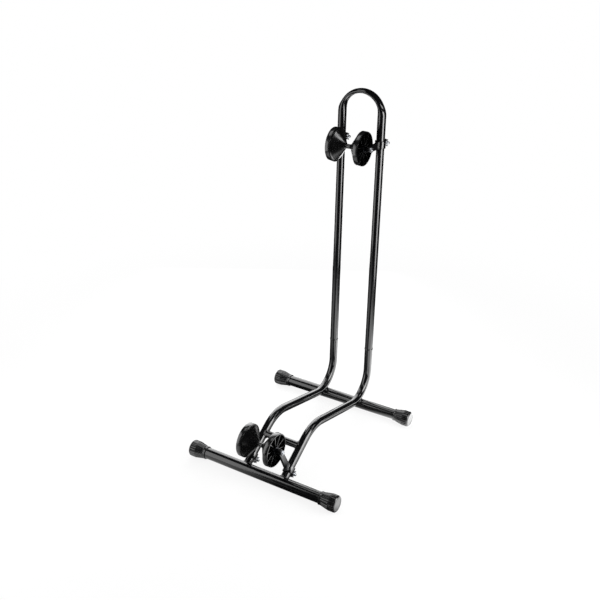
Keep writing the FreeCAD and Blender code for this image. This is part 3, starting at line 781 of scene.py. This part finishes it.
def weldBead(name, points, closed):
    walked = [0]
    for a, b in zip(points, points[1:]):
        walked.append(walked[-1] + (b - a).length)
    length = walked[-1]
    curve = bpy.data.curves.new(name, "CURVE")
    curve.dimensions = "3D"
    curve.bevel_depth = weld["radius"] / 1000
    curve.bevel_resolution = 3
    curve.use_fill_caps = True
    line = curve.splines.new("POLY")
    count = 2 * max(6, round(length * 1000 / weld["ripplePitch"]))
    line.points.add(count - 1 if closed else count)
    for number, point in enumerate(line.points):
        target = length * number / count
        index = next((i for i in range(1, len(walked)) if walked[i] >= target - 1e-9),
                     len(walked) - 1)
        share = (target - walked[index - 1]) / max(walked[index] - walked[index - 1], 1e-9)
        point.co = (*points[index - 1].lerp(points[index], share), 1)
        swing = (1 - weld["ripple"] * (number % 2)
                 + weld["waver"] * math.sin(number * weld["waverStep"]))
        fromEnd = min(number, count - number)
        ends = 1 if closed else min(1, weld["endSize"] + weld["endGrowth"] * fromEnd)
        point.radius = swing * ends
    line.use_cyclic_u = closed
    piece = bpy.data.objects.new(name, curve)
    bpy.context.scene.collection.objects.link(piece)
    only(piece)
    bpy.ops.object.convert(target="MESH")
    piece = bpy.context.object
    bpy.ops.object.mode_set(mode="EDIT")
    bpy.ops.mesh.select_all(action="SELECT")
    bpy.ops.mesh.remove_doubles(threshold=mergeDistance)
    bpy.ops.mesh.normals_make_consistent(inside=False)
    bpy.ops.object.mode_set(mode="OBJECT")
    bpy.ops.object.shade_smooth_by_angle(angle=math.radians(weld["smooth"]))
    piece.data.materials.clear()
    piece.data.materials.append(finishes["tube_paint"])
    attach(piece, "frame")


def frontWeld(x):
    # where the ramp's skin meets the back of the front cross tube
    f = frameLines
    start = Vector(f["rampStart"])
    base = Vector((0, f["baseHeight"]))
    along = rampDirection().normalized()
    across = Vector((-along.y, along.x))
    points = []
    for step in range(-60, 61):
        turn = math.radians(step * weld["step"])
        foot = start + across * (f["tubeRadius"] * math.cos(turn)) - base
        b = foot.dot(along)
        c = foot.length_squared - (f["baseRadius"] + weld["lift"]) ** 2
        if b * b - c >= 0:
            hit = foot + along * (-b + math.sqrt(b * b - c)) + base
            points.append(sidePoint(x + f["tubeRadius"] * math.sin(turn), hit.x, hit.y))
    return points


def rearWeld(x):
    # where the heel's skin meets the rear cross tube, once round the crossing
    f = frameLines
    heel = Vector(f["heel"])
    toRamp = (Vector(f["rampTop"]) - heel).normalized()
    lean = math.radians(f["upperLean"])
    toTop = Vector((math.sin(lean), math.cos(lean)))
    half = toRamp.angle(toTop) / 2
    centre = heel + (toRamp + toTop).normalized() * (f["heelRadius"] / math.sin(half))
    offset = Vector((f["baseSpacing"], f["baseHeight"])) - centre
    gap = offset.length
    toward = offset / gap
    aside = Vector((-toward.y, toward.x))
    radius = f["baseRadius"] + weld["lift"]
    rows = {1: [], -1: []}
    for step in range(-70, 71):
        turn = math.radians(step * weld["step"])
        reach = f["heelRadius"] + f["tubeRadius"] * math.cos(turn)
        along = (gap ** 2 + reach ** 2 - radius ** 2) / (2 * gap)
        height = reach ** 2 - along ** 2
        if height >= 0:
            for sign, row in rows.items():
                hit = centre + toward * along + aside * (sign * math.sqrt(height))
                row.append(sidePoint(x + f["tubeRadius"] * math.sin(turn), hit.x, hit.y))
    return rows[1] + rows[-1][::-1] + rows[1][:1]


def stayWeld(x, sign):
    # where the cross bar's end meets the side of a ramp
    f = frameLines
    along = rampDirection().normalized()
    across = Vector((-along.y, along.x))
    centre = Vector(f["rampStart"]) + along * f["stayStation"]
    radius = f["stayRadius"] + weld["lift"]
    points = []
    for degrees in range(0, 361, weld["stayStep"]):
        turn = math.radians(degrees)
        up = radius * math.cos(turn)
        spot = centre + along * (radius * math.sin(turn)) + across * up
        inward = math.sqrt(f["tubeRadius"] ** 2 - min(up, f["tubeRadius"]) ** 2)
        points.append(sidePoint(x - sign * inward, spot.x, spot.y))
    return points


for side, sign in sides.items():
    x = sign * frameLines["tubeX"]
    weldBead(f"front_weld_{side}", frontWeld(x), False)
    weldBead(f"rear_weld_{side}", rearWeld(x), True)
    weldBead(f"stay_weld_{side}", stayWeld(x, sign), True)
print("welds done")


# floor, light and background
studio = {
    "floorHalf": 30.0,
    "shadow": 0.15,         # how much of the floor's own shade the camera sees
    "nearGlow": 0.3,        # that shade shows inside this distance, and fades out to the next
    "farGlow": 1.3,
    "ambient": 0.5,         # soft light from all round
    "room": 0.015,          # dark room round the rack, seen only by the gloss
    "poolBase": 0.02,       # floor in the gloss, away from the bright pools
    "poolSlant": 0.8,       # how far the right pool's front edge runs askew
}

# painted pools of light on the floor, seen only by the gloss: each fade follows a coordinate, in
# metres from one place to another, and goes from one value to the next
poolFades = {
    "leftSide": ("X", -0.15, 0.05, 0.8, 0.0),
    "leftReach": ("Away", 0.45, 0.85, 1.0, 0.0),
    "leftFront": ("Y", -0.1, 0.1, 1.0, 0.0),
    "rightSide": ("X", 0.06, 0.17, 0.0, 2.1),
    "rightReach": ("Away", 0.35, 0.75, 1.0, 0.0),
    "rightFront": ("Slant", -0.07, -0.02, 0.0, 1.0),
    "backSide": ("X", -0.12, 0.03, 0.0, 2.4),
    "backReach": ("Away", 0.3, 0.6, 1.0, 0.0),
    "backFront": ("Y", 0.09, 0.23, 0.0, 1.0),
}


def addFloor():
    deselect()
    bpy.ops.mesh.primitive_plane_add(size=2 * studio["floorHalf"])
    floor = bpy.context.object
    floor.name = "floor"
    made, tree = startMaterial("paleFloor")
    path = node(tree, "ShaderNodeLightPath")
    place = node(tree, "ShaderNodeTexCoord").outputs["Object"]
    spot = node(tree, "ShaderNodeSeparateXYZ", None, {0: place})
    away = node(tree, "ShaderNodeVectorMath", {"operation": "LENGTH"}, {0: place})

    # what the camera sees: matt floor with the rack's shadow, fading into the white background
    seen = node(tree, "ShaderNodeMath", {"operation": "MAXIMUM"},
                {0: path.outputs["Is Camera Ray"], 1: path.outputs["Is Transmission Ray"]})
    clean = node(tree, "ShaderNodeMapRange",
                 {"interpolation_type": "SMOOTHSTEP",
                  "From Min": studio["nearGlow"], "From Max": studio["farGlow"],
                  "To Min": 1 - studio["shadow"], "To Max": 1.0},
                 {"Value": away.outputs["Value"]})
    share = node(tree, "ShaderNodeMath", {"operation": "MULTIPLY"},
                 {0: seen.outputs[0], 1: clean.outputs[0]})
    matt = node(tree, "ShaderNodeBsdfDiffuse", {"Color": linear("#f4f4f4")})
    glow = node(tree, "ShaderNodeEmission", {"Color": (1, 1, 1, 1), "Strength": 1.0})
    shaded = node(tree, "ShaderNodeMixShader", None,
                  {0: share.outputs[0], 1: matt.outputs[0], 2: glow.outputs[0]})

    # what the gloss sees: painted pools of light glowing on a dark floor, not lit by any lamp
    slant = node(tree, "ShaderNodeMath", {"operation": "MULTIPLY_ADD", 1: studio["poolSlant"]},
                 {0: spot.outputs["X"], 2: spot.outputs["Y"]})
    sources = {"X": spot.outputs["X"], "Y": spot.outputs["Y"], "Away": away.outputs["Value"],
               "Slant": slant.outputs[0]}
    fades = {}
    for name, (source, start, end, first, last) in poolFades.items():
        fade = node(tree, "ShaderNodeMapRange",
                    {"interpolation_type": "SMOOTHSTEP", "From Min": start, "From Max": end,
                     "To Min": first, "To Max": last}, {"Value": sources[source]})
        fades[name] = fade.outputs[0]
    pools = None
    for name in ("left", "right", "back"):
        reach = node(tree, "ShaderNodeMath", {"operation": "MULTIPLY"},
                     {0: fades[name + "Side"], 1: fades[name + "Reach"]})
        links = {0: reach.outputs[0], 1: fades[name + "Front"]}
        if pools:
            links[2] = pools.outputs[0]
        pools = node(tree, "ShaderNodeMath", {"operation": "MULTIPLY_ADD", 2: studio["poolBase"]},
                     links)
    mirrored = node(tree, "ShaderNodeEmission", {"Color": (1, 1, 1, 1)},
                    {"Strength": pools.outputs[0]})
    whole = node(tree, "ShaderNodeMixShader", None,
                 {0: path.outputs["Is Glossy Ray"], 1: shaded.outputs[0], 2: mirrored.outputs[0]})
    endMaterial(tree, whole)
    floor.data.materials.append(made)


def addWorld():
    # white for the camera, a dark room for the gloss, soft light for the rest
    world = bpy.data.worlds.new("studioWorld")
    bpy.context.scene.world = world
    world.use_nodes = True
    tree = world.node_tree
    tree.nodes.clear()
    path = node(tree, "ShaderNodeLightPath")
    soft = node(tree, "ShaderNodeBackground",
                {"Color": (1, 1, 1, 1), "Strength": studio["ambient"]})
    dark = node(tree, "ShaderNodeBackground", {"Color": (1, 1, 1, 1), "Strength": studio["room"]})
    white = node(tree, "ShaderNodeBackground", {"Color": (1, 1, 1, 1), "Strength": 1.0})
    gloss = node(tree, "ShaderNodeMixShader", None,
                 {0: path.outputs["Is Glossy Ray"], 1: soft.outputs[0], 2: dark.outputs[0]})
    seen = node(tree, "ShaderNodeMath", {"operation": "MAXIMUM"},
                {0: path.outputs["Is Camera Ray"], 1: path.outputs["Is Transmission Ray"]})
    mix = node(tree, "ShaderNodeMixShader", None,
               {0: seen.outputs[0], 1: gloss.outputs[0], 2: white.outputs[0]})
    node(tree, "ShaderNodeOutputWorld", None, {"Surface": mix.outputs[0]})


# each soft panel: middle, what it faces, width and height, all in metres, and brightness,
# where 1 is white
panels = {
    "rightPanel": ((0.8, 0.03, 0.56), (0, 0.03, 0.56), 0.46, 0.62, 7.5),
    "rightFoot": ((0.8, 0.03, 0.125), (0, 0.03, 0.125), 0.46, 0.25, 4.6),
    "leftPanel": ((-0.65, -0.66, 0.57), (0, 0, 0.57), 0.72, 1.14, 1.9),
    "backPanel": ((-0.45, 0.5, 0.3), (-0.29, 0.214, 0.0), 0.8, 0.77, 3.2),
    "farPanel": ((0.918, 0.65, 1.243), (-0.02, 0.15, 0.68), 0.42, 0.14, 6.0),
    "frontPanel": ((0.43, -0.86, 1.4), (0.045, 0.2, 0.75), 0.5, 0.35, 2.4),
    "topPanel": ((-0.34, 0.1, 1.45), (-0.34, 0.1, 0), 0.42, 0.5, 1.8),
    "metalTop": ((0.2, -0.3, 1.9), (0, 0, 0.4), 1.8, 1.8, 1.0),
    "metalLeft": ((-1.2, -0.5, 0.5), (0, 0, 0.4), 1.4, 1.2, 1.0),
    "metalRight": ((1.3, -0.1, 0.6), (0, 0, 0.4), 1.2, 1.2, 1.0),
}


def addPanel(name, place, aim, width, height, bright):
    data = bpy.data.lights.new(name, "AREA")
    data.shape = "RECTANGLE"
    data.size = width
    data.size_y = height
    data.energy = bright * math.pi * width * height
    lamp = bpy.data.objects.new(name, data)
    lamp.location = place
    lamp.rotation_euler = (Vector(aim) - Vector(place)).to_track_quat("-Z", "Y").to_euler()
    lamp.visible_camera = False
    bpy.context.scene.collection.objects.link(lamp)
    return lamp


def limitPanel(lamp, words, state):
    # INCLUDE: the panel lights only the pieces with these words in their names; EXCLUDE: all
    # but these
    chosen = bpy.data.collections.new(lamp.name + "Flag")
    for piece in bpy.context.scene.objects:
        if piece.name.endswith("_shape") and any(word in piece.name for word in words):
            chosen.objects.link(piece)
    lamp.light_linking.receiver_collection = chosen
    for item in chosen.collection_objects:
        item.light_linking.link_state = state


addFloor()
addWorld()
for name, sizes in panels.items():
    lamp = addPanel(name, *sizes)
    if name.startswith("right"):
        limitPanel(lamp, ["roller"], "EXCLUDE")                 # the rollers' grooves stay black
    if name.startswith("metal"):
        limitPanel(lamp, ["bolt", "nut", "axle"], "INCLUDE")    # metal mirrors a white room
print("studio done")

bpy.context.scene.view_settings.view_transform = "Standard"
